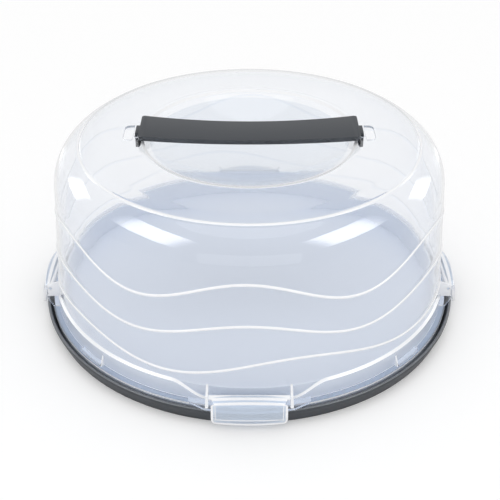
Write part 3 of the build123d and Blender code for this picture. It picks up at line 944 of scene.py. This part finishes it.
def stiffeners(lid):
    """Four ribs against the skirt band, each with a low pad beside it."""
    made = []
    flange_top = lid.foot + lid.flange_height
    reach = lid.skirt_radius + lid.pad_width
    under = lid.foot + STIFFENER_LIFT
    inner = wall_at(lid, flange_top) - lid.wall / 2
    skirt_wall = wall_at(lid, lid.skirt_top)
    pad_top = flange_top + lid.pad_height
    pad_middle = Matrix.Translation((0, 0, (under + pad_top) / 2))
    rib = [
        (inner, under), (reach, under), (reach, flange_top), (skirt_wall, lid.skirt_top),
        (skirt_wall - lid.wall / 2, lid.skirt_top),
    ]
    for side in (-1, 1):
        for start, span in ((lid.brace_turn, lid.pad_turn), (pi - lid.brace_turn, -lid.pad_turn)):
            place = side_place(degrees(side * start), 0)
            # Each rib takes the painted highlight plastic.
            made.append((prism("rib", rib, place, lid.brace_wall, "lines"), "UNION"))
            turned = [side * (start + span * i / PAD_STEPS) for i in range(PAD_STEPS + 1)]
            pad = [(reach * sin(a), -reach * cos(a)) for a in turned]
            pad += [(inner * sin(a), -inner * cos(a)) for a in reversed(turned)]
            made.append((prism("pad", pad, pad_middle, pad_top - under), "UNION"))
    return made


# Brackets: heights of underside and top over the ring's lip, reach past the ring, margin beyond
# the ears, width of the sloping ends, and how far back and ends lie inside wall and flange.
BRACKET_LOW, BRACKET_HIGH = 0.5 * MM, 2.3 * MM
BRACKET_REACH, BRACKET_MARGIN, BRACKET_END = 0.1 * MM, 1.5 * MM, 12 * MM
BRACKET_ROOT, BRACKET_INSET = 1.0 * MM, 0.2 * MM
# Ears: depth of their root in the wall, lift over the bracket's underside, edge beyond the hinge,
# height of the splayed foot, height over the hinge where they start to narrow, and gap round a pin.
EAR_ROOT, EAR_LIFT, EAR_EDGE = 0.9 * MM, 0.01 * MM, 2.4 * MM
EAR_FOOT, EAR_NECK, BORE_GAP = 2 * MM, 3 * MM, 0.05 * MM


def bracket_copies(lid, clip):
    """Four brackets, then their ears, then the bores, each with what is done with it."""
    reach = RING_HIGH[0] + BRACKET_REACH
    half = clip.ear_middle + clip.ear_wall / 2 + BRACKET_MARGIN
    end = half + BRACKET_END
    low, high = RING_HIGH[2] + BRACKET_LOW, RING_HIGH[2] + BRACKET_HIGH
    flange_y = sqrt((lid.flange_radius - BRACKET_INSET) ** 2 - end**2)
    outline = [(end, flange_y)] + round_edge(half, reach)
    outline += [(-end, flange_y)] + round_edge(-end, lid.wall_radius - BRACKET_ROOT)
    facing = Matrix(((1, 0, 0, 0), (0, -1, 0, 0), (0, 0, 1, (low + high) / 2), (0, 0, 0, 1)))
    made = [(prism("bracket", outline, facing, high - low), "clear", "UNION")]

    def root(height):
        """Where an ear starts inside the wall."""
        return sqrt((wall_at(lid, height) - EAR_ROOT) ** 2 - clip.ear_middle**2)

    edge = clip.hinge_radius + EAR_EDGE
    foot = sqrt(reach**2 - half**2)
    top = root(clip.ear_top)
    outline = [
        (root(low), low + EAR_LIFT), (foot, low + EAR_LIFT), (foot, high), (edge, high + EAR_FOOT),
        (edge, clip.hinge_height + EAR_NECK), (top + clip.ear_reach, clip.ear_top),
        (top, clip.ear_top),
    ]
    extra = clip.ear_foot_wall - clip.ear_wall
    for side in (-1, 1):
        ear = prism("ear", outline, side_place(0, side * clip.ear_middle), clip.ear_wall)
        # The outer face leans out towards the foot.
        for vertex in ear.data.vertices:
            if vertex.co.x * side > clip.ear_middle:
                drop = (clip.ear_top - vertex.co.z) / (clip.ear_top - low)
                vertex.co.x += side * extra * min(max(drop, 0), 1)
        # Each ear takes the painted highlight plastic.
        made.append((ear, "lines", "UNION"))
    bore = circle((clip.hinge_radius, clip.hinge_height), clip.pin + BORE_GAP, PIN_SIDES)
    depth = 2 * clip.ear_middle + 4 * clip.ear_wall
    # The bores' walls take the painted highlight plastic.
    made.append((prism("bore", bore, side_place(0, 0), depth), "lines", "DIFFERENCE"))
    for part, finish, operation in made:
        run_tree(part, TREES["copies"], {"Count": len(CLIP_TURNS), "Material": MATERIALS[finish]})
    return [(part, operation) for part, finish, operation in made]


# Slots for the legs: distance from the middle, half their length, gap beside a leg; and the corners
# of these slots and of the ring's windows.
SLOT_PLACE, SLOT_HALF, SLOT_GAP, CUT_CORNER = 88.8 * MM, 1.2 * MM, 0.8 * MM, 0.3 * MM
CUT_STEPS, OPENING_STEPS = 2, 8


def cut_slots(dome, lid, strap):
    """Slots for the strap's legs and the openings outside them."""
    level = Matrix.Translation((0, 0, lid.top))
    depth = 4 * lid.wall
    slot = rounded_box(SLOT_HALF, strap.tongue_width / 2 + SLOT_GAP, CUT_CORNER, CUT_STEPS)
    half, corner = strap.opening_width / 2, strap.opening_corner
    for side in (-1, 1):
        place = level @ Matrix.Translation((side * SLOT_PLACE, 0, 0))
        combine(dome, prism("slot", slot, place, depth, "flange"), "DIFFERENCE")
        near = side * strap.opening_start
        far = side * (strap.opening_start + strap.opening_length - corner)
        outline = [(near, -half), (near, half)]
        for turned, middle in ((90, half - corner), (0, corner - half)):
            rounding = arc((0, 0), corner, turned, turned - 90, OPENING_STEPS)
            outline += [(far + side * x, middle + y) for x, y in rounding]
        combine(dome, prism("opening", outline, level, depth, "flange"), "DIFFERENCE")


# Ring: softening of its foot and how steep it is, step and slope from the side out to the lip, and
# half the depth of the tool that cuts a window.
FOOT_SOFT, FOOT_STEEP = 0.5 * MM, 0.6
LIP_STEP, LIP_SLOPE, WINDOW_HALF = 0.1 * MM, 0.3 * MM, 15 * MM
RING_COLUMNS, LIP_STEPS = 288, 5


class CARRIER_OT_ring(bpy.types.Operator):
    """Builds the dark base ring with its catch windows"""

    bl_idname = "carrier.ring"
    bl_label = "Base ring"

    def execute(self, context):
        ring = context.scene.carrier_ring
        foot = ring.radius - ring.lean
        low_lip = ring.height - ring.lip
        inner = ring.radius - ring.wall
        floor_r = foot + ring.lean * ring.floor / low_lip - ring.wall
        floor_end = foot - ring.floor_width
        round_z = ring.height - ring.rounding
        points = (
            [(floor_end, 0), (foot - FOOT_SOFT, 0), (foot, FOOT_SOFT * FOOT_STEEP)]
            + [(ring.radius - LIP_STEP, low_lip - LIP_SLOPE), (ring.radius, low_lip + LIP_SLOPE)]
            + arc((ring.radius - ring.rounding, round_z), ring.rounding, 0, 90, LIP_STEPS)
            + arc((inner + ring.rounding, round_z), ring.rounding, 90, 180, LIP_STEPS)
            + [(inner, low_lip), (floor_r, ring.floor), (floor_end, ring.floor), (floor_end, 0)]
        )
        piece = section_object("ring_band", plain_rows(points))
        run_tree(piece, TREES["turned"], {"Columns": RING_COLUMNS, "Material": MATERIALS["dark"]})
        face_outwards(piece)
        height = ring.catch_top - ring.floor
        outline = rounded_box(WINDOW_HALF, height / 2, CUT_CORNER, CUT_STEPS)
        middle = Matrix.Translation((ring.radius, ring.floor + height / 2, 0))
        for angle in CLIP_TURNS.values():
            window = prism("window", outline, side_place(angle, 0) @ middle, ring.catch_width)
            combine(piece, window, "DIFFERENCE")
        piece.data.materials.clear()
        # Faces on top of the lip get the lighter plastic: a painted highlight along the ring's top.
        for finish in ("dark", "lip"):
            piece.data.materials.append(MATERIALS[finish])
        for face in piece.data.polygons:
            face.material_index = int(face.center.z > ring.height - ring.rounding / 2)
        finish_piece(piece, "base", "base_ring")
        return {"FINISHED"}


class CARRIER_OT_tray(bpy.types.Operator):
    """Gives the tray its pale plastic"""

    bl_idname = "carrier.tray"
    bl_label = "Tray"

    def execute(self, context):
        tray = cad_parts["base_tray"]
        for slot in tray.material_slots:
            slot.material = MATERIALS["pale"]
        return {"FINISHED"}


# Strap: the outline's corners; the legs' outer faces beyond its ends, their thickness and their
# rounding; the tongues' root inside its ends, their lap over its underside and their thickness;
# and the toes' foot, reach and thickness.
STRAP_CORNER, STRAP_STEPS, STRAP_COLUMNS = 3 * MM, 6, 64
LEG_OUT, LEG_WALL, LEG_SOFT = 3.6 * MM, 1.6 * MM, 0.3 * MM
TONGUE_ROOT, TONGUE_LAP, TONGUE_WALL = 8 * MM, 0.6 * MM, 2.6 * MM
TOE_FOOT, TOE_REACH, TOE_WALL = 1.2 * MM, 2.4 * MM, 1.6 * MM


def strap_band(s):
    """The sagging band, drawn in at its middle."""
    sag = (s.half_length**2 + s.dip**2) / (2 * s.dip)
    waist = (s.half_length**2 + s.waist**2) / (2 * s.waist)
    form = bmesh.new()
    loops = []
    for i in range(STRAP_COLUMNS + 1):
        x = -s.half_length + 2 * s.half_length * i / STRAP_COLUMNS
        drop = s.dip - (sag - sqrt(sag**2 - x**2))
        side = s.half_width - s.waist + waist - sqrt(waist**2 - x**2)
        top = STRAP_HIGH[2] - drop
        low = top - s.thickness
        section = ((-side, low), (side, low), (side, top), (-side, top))
        loops.append([form.verts.new((x, y, z)) for y, z in section])
    for first, second in zip(loops, loops[1:]):
        for k in range(4):
            form.faces.new((first[k], first[(k + 1) % 4], second[(k + 1) % 4], second[k]))
    form.faces.new(loops[0])
    form.faces.new(loops[-1])

    def at_corner(edge):
        """Whether an edge is an upright one at the strap's end."""
        at_end = all(abs(abs(v.co.x) - s.half_length) < SAME for v in edge.verts)
        return at_end and abs(edge.verts[0].co.y - edge.verts[1].co.y) < SAME

    # The outline's corners are rounded first, then every edge.
    corners = [edge for edge in form.edges if at_corner(edge)]
    bmesh.ops.bevel(
        form, geom=corners, offset=STRAP_CORNER, segments=STRAP_STEPS, profile=0.5,
        affect="EDGES",
    )
    strap = mesh_object("strap_band", form)
    soften(strap, s.rounding, segments=3)
    return strap


def strap_leg(s, side):
    """Tongue, leg and toe at one end of the strap."""
    outer = s.half_length + LEG_OUT
    inner = outer - LEG_WALL
    root = s.half_length - TONGUE_ROOT
    top = STRAP_HIGH[2] - s.thickness + TONGUE_LAP
    toe = STRAP_LOW[2]
    outline = (
        (root, top), (outer, top), (outer, toe), (inner - TOE_FOOT, toe),
        (inner - TOE_REACH, toe + TOE_WALL), (inner, toe + TOE_WALL), (inner, top - TONGUE_WALL),
        (root, top - TONGUE_WALL),
    )
    upright = Matrix(((1, 0, 0, 0), (0, 0, 1, 0), (0, 1, 0, 0), (0, 0, 0, 1)))
    leg = prism("leg", [(side * x, z) for x, z in outline], upright, s.tongue_width)
    soften(leg, LEG_SOFT, segments=2)
    return leg


class CARRIER_OT_strap(bpy.types.Operator):
    """Builds the sagging strap with its hooked legs"""

    bl_idname = "carrier.strap"
    bl_label = "Strap"

    def execute(self, context):
        shape = context.scene.carrier_strap
        strap = strap_band(shape)
        for side in (-1, 1):
            combine(strap, strap_leg(shape, side), "UNION")
        strap.data.materials.clear()
        strap.data.materials.append(MATERIALS["dark"])
        finish_piece(strap, "handle", "handle")
        return {"FINISHED"}


class CARRIER_OT_clips(bpy.types.Operator):
    """Builds the four clips, each on its own hinge"""

    bl_idname = "carrier.clips"
    bl_label = "Clips"

    def execute(self, context):
        clip = context.scene.carrier_clip
        for name, angle in CLIP_TURNS.items():
            piece = build_clip(clip)
            piece.name = name + "_plate"
            piece.data.transform(Matrix.Rotation(radians(angle), 4, "Z"))
            finish_piece(piece, name, name)
        return {"FINISHED"}


# Divisions of a clip's plate: across it, down its front, and over its top; and of its round parts.
CLIP_COLUMNS, FRONT_ROWS, TOP_ROWS = 96, 48, 8
BARREL_SIDES, PIN_SIDES = 32, 24
# Rows and columns of its front painted white as highlights, counted from its top, its sides and its
# foot:
# over the hinge, past the top edge, the border, and the line inside the border, a painted image of
# the back edge.
HINGE_HIGHLIGHT, TOP_HIGHLIGHT = range(2, 5), range(TOP_ROWS - 1, TOP_ROWS + 4)
SIDE_BORDER, FOOT_BORDER = 3, 4
INNER_SIDE, INNER_END, INNER_FOOT = 5, 7, (10, 11)
# Barrel beyond both sides of the plate together, and the pins' ends inside the ears' outer faces.
BARREL_EXTRA, PIN_SHORT = 3.2 * MM, 0.15 * MM
# Nib: where its top is, its height, and how far out its two ends and its underside's start lie.
NIB_TOP, NIB_HEIGHT = 7.6 * MM, 2.2 * MM
NIB_INNER, NIB_OUTER, NIB_LOWER = 169.8 * MM, 175.2 * MM, 170.9 * MM


def clip_highlight(i, k):
    """One for the faces of a clip's front that carry painted highlights, by row and column, and
    zero for the others.
    """
    side = min(k, CLIP_COLUMNS - 1 - k)
    foot = TOP_ROWS + FRONT_ROWS - 1 - i
    over = i in HINGE_HIGHLIGHT or i in TOP_HIGHLIGHT
    border = (side < SIDE_BORDER or foot < FOOT_BORDER) and i >= TOP_ROWS
    beside = side == INNER_SIDE and foot >= INNER_END
    inner = beside or (foot in INNER_FOOT and side >= INNER_SIDE)
    return int(over or border or (inner and i > TOP_ROWS))


def around(grid):
    """The points of a grid's border in order."""
    rows = grid[0] + [line[-1] for line in grid[1:]]
    return rows + grid[-1][-2::-1] + [line[0] for line in grid[-2:0:-1]]


def build_clip(clip):
    """The front clip: bent plate with rounded corners, barrel, pins and nib."""
    outer = -CLIP_LOW[1]
    top, low = CLIP_HIGH[2], CLIP_LOW[2]
    half = clip.width / 2
    slope_back = outer - sqrt(outer**2 - half**2)

    def rounded(near, corner):
        """How much of the width a rounded corner takes at a distance from the plate's edge."""
        return corner - sqrt(max(corner**2 - max(corner - near, 0) ** 2, 0))

    def place(s, drop, inset):
        """A point of the front face: its share of the width, and its share of the way down."""
        z_edge = top - inset - clip.crown * s**2
        z = z_edge + (low - z_edge) * drop
        u = s * (half - max(rounded(z_edge - z, clip.top_corner), rounded(z - low, clip.corner)))
        back = slope_back * max(1 - (z_edge - z) / clip.bevel, 0)
        return u, sqrt((outer - inset - back) ** 2 - u**2), z

    form = bmesh.new()

    def sheet(inset):
        """One face of the plate: back edge over the hinge, top, then down the front."""
        grid = []
        for i in range(TOP_ROWS + FRONT_ROWS + 1):
            line = []
            for j in range(CLIP_COLUMNS + 1):
                s = 2 * j / CLIP_COLUMNS - 1
                u, y, z = place(s, max(i - TOP_ROWS, 0) / FRONT_ROWS, inset)
                if i < TOP_ROWS:
                    t = i / TOP_ROWS
                    u = s * half + (u - s * half) * t**2
                    y = clip.hinge_radius + (y - clip.hinge_radius) * t
                    z = top - inset + (z - top + inset) * t
                line.append(form.verts.new((u, -y, z)))
            grid.append(line)
        for i, (a, b) in enumerate(zip(grid, grid[1:])):
            for k in range(CLIP_COLUMNS):
                face = form.faces.new((a[k], a[k + 1], b[k + 1], b[k]))
                face.material_index = 0 if inset else clip_highlight(i, k)
        return around(grid)

    front, back = sheet(0.0), sheet(clip.wall)
    for i in range(len(front)):
        j = (i + 1) % len(front)
        # The plate's edges take the painted highlight plastic.
        form.faces.new((front[i], front[j], back[j], back[i])).material_index = 1
    bmesh.ops.remove_doubles(form, verts=form.verts, dist=SAME)
    plate = mesh_object("clip", form)
    for finish in ("frosted", "lines"):
        plate.data.materials.append(MATERIALS[finish])
    hinge = (clip.hinge_radius, clip.hinge_height)
    pins = 2 * (clip.ear_middle + clip.ear_wall / 2 - PIN_SHORT)
    nib_low = NIB_TOP - NIB_HEIGHT
    nib = [(NIB_INNER, NIB_TOP), (NIB_OUTER, NIB_TOP), (NIB_OUTER, nib_low), (NIB_LOWER, nib_low)]
    # The barrel takes the painted highlight plastic.
    for name, outline, depth, finish in (
        ("barrel", circle(hinge, clip.barrel, BARREL_SIDES), clip.width + BARREL_EXTRA, "lines"),
        ("pins", circle(hinge, clip.pin, PIN_SIDES), pins, "frosted"),
        ("nib", nib, clip.nib_width, "frosted"),
    ):
        combine(plate, prism(name, outline, side_place(0, 0), depth, finish), "UNION")
    return plate


# Share of a soft box's width over which each end fades, and the level at the very end.
FADE, END_LEVEL = 0.3, 0.1


def area_lamp(name, size, power):
    """A rectangular lamp and its object."""
    lamp = bpy.data.lights.new(name, "AREA")
    lamp.shape = "RECTANGLE"
    lamp.size, lamp.size_y = size
    lamp.energy = power
    return lamp, new_object(name, lamp)


def softbox(size, power, place, aim, side):
    """A panel of light that only gloss shows, softer towards its two ends."""
    lamp, box = area_lamp("Softbox", size, power)
    lamp.use_nodes = True
    tree = lamp.node_tree
    tree.nodes.clear()
    across = split(tree, add_node(tree, "ShaderNodeNewGeometry").outputs["Parametric"])["X"]
    near_end = calc(tree, "MINIMUM", across, calc(tree, "SUBTRACT", 1.0, across))
    level = smooth_step(tree, near_end, 0.0, FADE, END_LEVEL, 1.0)
    glow = add_node(tree, "ShaderNodeEmission", {"Strength": level})
    add_node(tree, "ShaderNodeOutputLight", {"Surface": glow})
    box.location = (side * place[0], *place[1:])
    facing = Vector((side * aim[0], *aim[1:])) - box.location
    box.rotation_euler = facing.to_track_quat("-Z", "Y").to_euler()
    box.visible_diffuse = False


def seen_rays(tree):
    """Whether a ray shows a thing straight or through something clear, and whether mirrored."""
    path = add_node(tree, "ShaderNodeLightPath").outputs
    straight = calc(tree, "MAXIMUM", path["Is Camera Ray"], path["Is Transmission Ray"])
    return straight, path["Is Glossy Ray"]


# The floor's half width, and how far it lies under the piece.
FLOOR_HALF, FLOOR_DROP = 4, 0.05 * MM


class CARRIER_OT_stage(bpy.types.Operator):
    """Builds the floor, the light and the camera"""

    bl_idname = "carrier.stage"
    bl_label = "Stage"

    def execute(self, context):
        scene, look = context.scene, context.scene.carrier_stage
        camera = bpy.data.cameras.new("Camera")
        camera.lens = look.lens
        camera.sensor_width = 36
        camera.shift_x = look.side_shift
        camera.clip_end = 20
        holder = new_object("Camera", camera)
        holder.location = look.camera_place
        holder.rotation_euler = (look.camera_tilt, 0, 0)
        scene.camera = holder
        scene.view_settings.view_transform = "Standard"

        form = bmesh.new()
        bmesh.ops.create_grid(form, x_segments=1, y_segments=1, size=FLOOR_HALF)
        floor = mesh_object("Floor", form)
        floor.data.transform(Matrix.Translation((0, 0, -FLOOR_DROP)))
        material, tree = new_material("Floor")
        matt = add_node(tree, "ShaderNodeBsdfDiffuse", {"Color": (*look.floor_colour, 1)})
        level = calc(tree, "MULTIPLY", seen_rays(tree)[0], look.floor_lift)
        lift = add_node(tree, "ShaderNodeEmission", {"Color": (1, 1, 1, 1), "Strength": level})
        both = add_node(tree, "ShaderNodeAddShader", {0: matt, 1: lift})
        add_node(tree, "ShaderNodeOutputMaterial", {"Surface": both})
        floor.data.materials.append(material)

        world = bpy.data.worlds.new("Studio")
        scene.world = world
        world.use_nodes = True
        tree = world.node_tree
        tree.nodes.clear()
        straight, mirrored = seen_rays(tree)
        level = calc(tree, "MULTIPLY_ADD", straight, 1.0 - look.sky_level, look.sky_level)
        level = calc(tree, "MULTIPLY_ADD", mirrored, look.mirror_level - look.sky_level, level)
        sky = add_node(tree, "ShaderNodeBackground", {"Color": (1, 1, 1, 1), "Strength": level})
        add_node(tree, "ShaderNodeOutputWorld", {"Surface": sky})

        front_size = (look.softbox_width, look.softbox_height)
        back_size = (look.back_size, look.back_size)
        for side in (-1, 1):
            softbox(front_size, look.softbox_power, look.softbox_place, look.softbox_aim, side)
            softbox(back_size, look.back_power, look.back_place, look.back_aim, side)
        sun = bpy.data.lights.new("Overhead", "SUN")
        sun.energy = look.overhead
        sun.angle = look.overhead_spread
        above = new_object("Overhead", sun)
        above.visible_glossy = False
        fill = area_lamp("Fill", (look.fill_width, look.fill_height), look.fill_power)[1]
        fill.location = look.fill_place
        fill.rotation_euler = (look.fill_tilt, 0, 0)
        fill.visible_glossy = False
        return {"FINISHED"}


class CARRIER_PT_panel(bpy.types.Panel):
    """Lists the carrier's pieces"""

    bl_idname = "CARRIER_PT_panel"
    bl_label = "Cake Carrier"
    bl_space_type = "VIEW_3D"
    bl_region_type = "UI"
    bl_category = "Cake Carrier"

    def draw(self, context):
        for operator in OPERATORS:
            self.layout.operator(operator.bl_idname)


GROUPS = {
    "carrier_lid": LidShape,
    "carrier_waves": WaveShape,
    "carrier_clip": ClipShape,
    "carrier_strap": StrapShape,
    "carrier_ring": RingShape,
    "carrier_finish": Finish,
    "carrier_stage": StageLook,
}
OPERATORS = (
    CARRIER_OT_stage,
    CARRIER_OT_tray,
    CARRIER_OT_ring,
    CARRIER_OT_lid,
    CARRIER_OT_strap,
    CARRIER_OT_clips,
)
TREES = {}


def register():
    for cls in (*GROUPS.values(), *OPERATORS, CARRIER_PT_panel):
        bpy.utils.register_class(cls)
    for name, cls in GROUPS.items():
        setattr(bpy.types.Scene, name, PointerProperty(type=cls))


def unregister():
    for name in GROUPS:
        delattr(bpy.types.Scene, name)
    for cls in (CARRIER_PT_panel, *reversed(OPERATORS), *reversed(GROUPS.values())):
        bpy.utils.unregister_class(cls)


def main():
    """Registers the add-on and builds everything."""
    register()
    make_materials(bpy.context.scene.carrier_finish)
    TREES["turn"] = turn_group()
    TREES["swell"] = swell_group()
    TREES["turned"] = turned_tree(TREES["turn"])
    TREES["copies"] = round_copies_tree()
    bpy.ops.carrier.stage()
    bpy.ops.carrier.tray()
    bpy.ops.carrier.ring()
    bpy.ops.carrier.lid()
    bpy.ops.carrier.strap()
    bpy.ops.carrier.clips()


if __name__ == "__main__":
    main()
